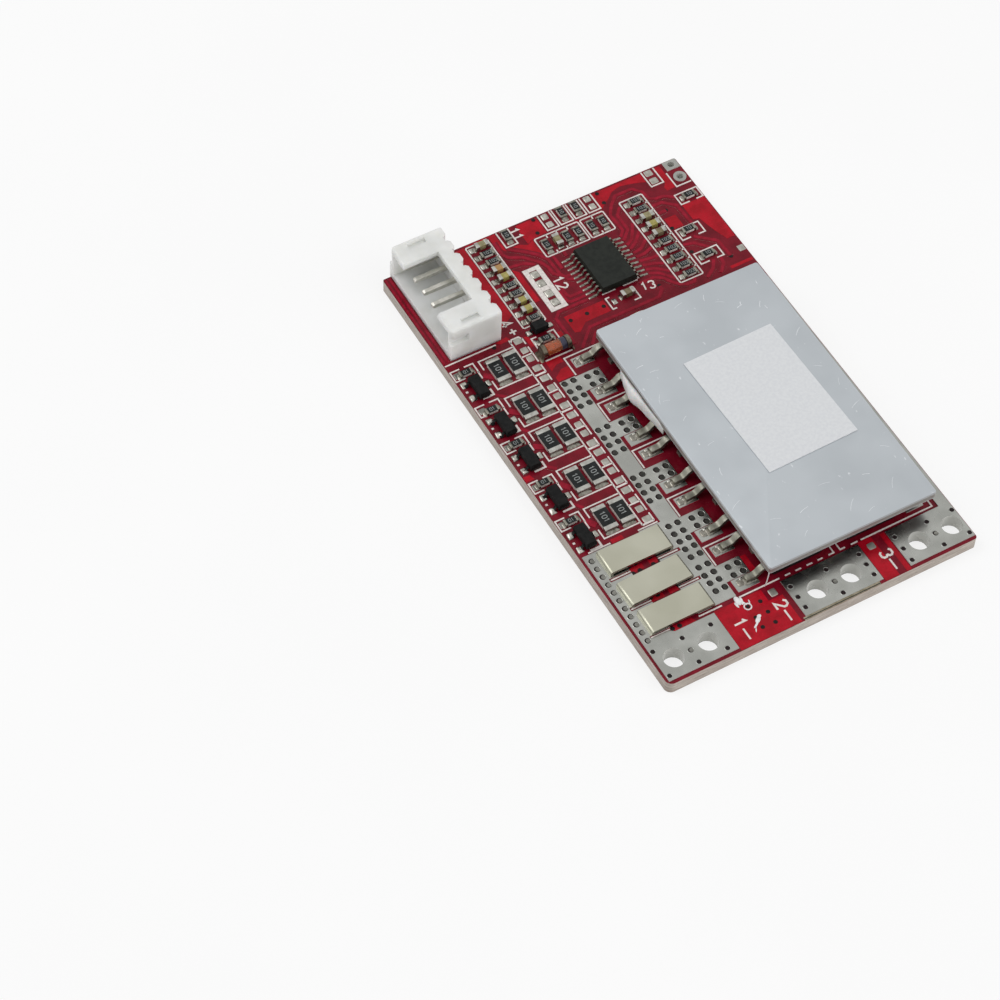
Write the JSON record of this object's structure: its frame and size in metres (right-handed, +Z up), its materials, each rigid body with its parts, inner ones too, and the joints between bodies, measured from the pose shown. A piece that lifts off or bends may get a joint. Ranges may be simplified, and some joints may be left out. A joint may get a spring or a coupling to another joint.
{
  "type": "battery management board",
  "caption": "Red circuit board that guards a battery pack: bare aluminium heat plate over power transistors, tinned power pads with lead holes and a white side-entry balance socket.",
  "frame": {"origin": "centre of the bounding box on the underside of the board", "axes": "+Z up out of the component side, +Y along the board from the power pads to the balance socket, +X to the right when the power pads are at the front"},
  "size_m": [0.0376, 0.0602, 0.0064],
  "materials": {
    "red_solder_mask": "glossy red lacquer over copper and glass fibre board",
    "tinned_copper": "uneven hot tin",
    "shunt_alloy": "satin resistance alloy",
    "black_epoxy": "matte moulded epoxy",
    "lead_metal": "satin tin",
    "bare_aluminium": "rolled, lightly scratched",
    "white_silicone": "satin",
    "label_paper": "matte white",
    "white_nylon": "satin off-white",
    "pin_metal": "bright tin",
    "resistor_ceramic": "black glaze on white ceramic with tinned ends",
    "capacitor_ceramic": "matte ceramic with tinned ends",
    "amber_glass": "clear, amber"
  },
  "bodies": {
    "root": {"circuit_board": "red_solder_mask", "pack_minus_pad": "tinned_copper", "load_minus_pad": "tinned_copper", "charge_minus_pad": "tinned_copper", "current_bus": "tinned_copper", "lead_pads": "tinned_copper", "drain_pads": "tinned_copper", "sensor_pads": "tinned_copper", "shunt_1": "shunt_alloy", "shunt_2": "shunt_alloy", "shunt_3": "shunt_alloy", "mosfet_body_1": "black_epoxy", "mosfet_leads_1": "lead_metal", "mosfet_body_2": "black_epoxy", "mosfet_leads_2": "lead_metal", "mosfet_body_3": "black_epoxy", "mosfet_leads_3": "lead_metal", "mosfet_body_4": "black_epoxy", "mosfet_leads_4": "lead_metal", "mosfet_body_5": "black_epoxy", "mosfet_leads_5": "lead_metal", "mosfet_body_6": "black_epoxy", "mosfet_leads_6": "lead_metal", "mosfet_body_7": "black_epoxy", "mosfet_leads_7": "lead_metal", "mosfet_body_8": "black_epoxy", "mosfet_leads_8": "lead_metal", "mosfet_body_9": "black_epoxy", "mosfet_leads_9": "lead_metal", "mosfet_body_10": "black_epoxy", "mosfet_leads_10": "lead_metal", "heat_plate": "bare_aluminium", "silicone_glue": "white_silicone", "label": "label_paper", "socket_housing": "white_nylon", "socket_pins": "pin_metal", "controller_body": "black_epoxy", "controller_leads": "lead_metal", "bleed_resistors_1": "resistor_ceramic", "bleed_transistor_1": "black_epoxy", "bleed_resistors_2": "resistor_ceramic", "bleed_transistor_2": "black_epoxy", "bleed_resistors_3": "resistor_ceramic", "bleed_transistor_3": "black_epoxy", "bleed_resistors_4": "resistor_ceramic", "bleed_transistor_4": "black_epoxy", "bleed_resistors_5": "resistor_ceramic", "bleed_transistor_5": "black_epoxy", "gate_resistors": "resistor_ceramic", "socket_column_resistors": "resistor_ceramic", "right_column_resistors": "resistor_ceramic", "row_resistors": "resistor_ceramic", "edge_resistors": "resistor_ceramic", "single_resistors": "resistor_ceramic", "small_capacitors": "capacitor_ceramic", "clamp_diode": "black_epoxy", "glass_diode_tube": "amber_glass", "glass_diode_caps": "pin_metal"}
  },
  "joints": []
}
